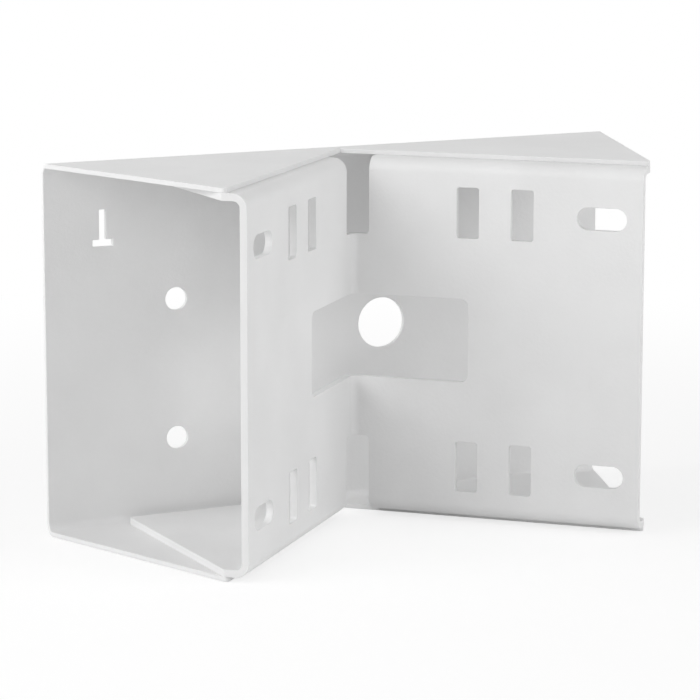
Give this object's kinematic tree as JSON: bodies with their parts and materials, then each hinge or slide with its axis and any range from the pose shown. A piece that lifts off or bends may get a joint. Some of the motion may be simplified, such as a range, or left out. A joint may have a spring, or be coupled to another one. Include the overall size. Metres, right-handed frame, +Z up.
{
  "type": "camera pole mount",
  "caption": "White folded steel bracket with a front plate for a camera and a V-shaped back that is strapped to a pole or screwed to the corner of a building.",
  "frame": {"origin": "centre of the base, on the surface that the bottom flange stands on", "axes": "+Z up along the valley of the V, -Y out of the front plate towards the camera, +Y out of the V towards the pole, +X along the front plate"},
  "size_m": [0.2516, 0.1068, 0.15],
  "materials": {
    "white_powder_coat": "satin white powder coat with a fine even texture"
  },
  "bodies": {
    "root": {"front_channel": "white_powder_coat", "rear_vee": "white_powder_coat"}
  },
  "joints": []
}
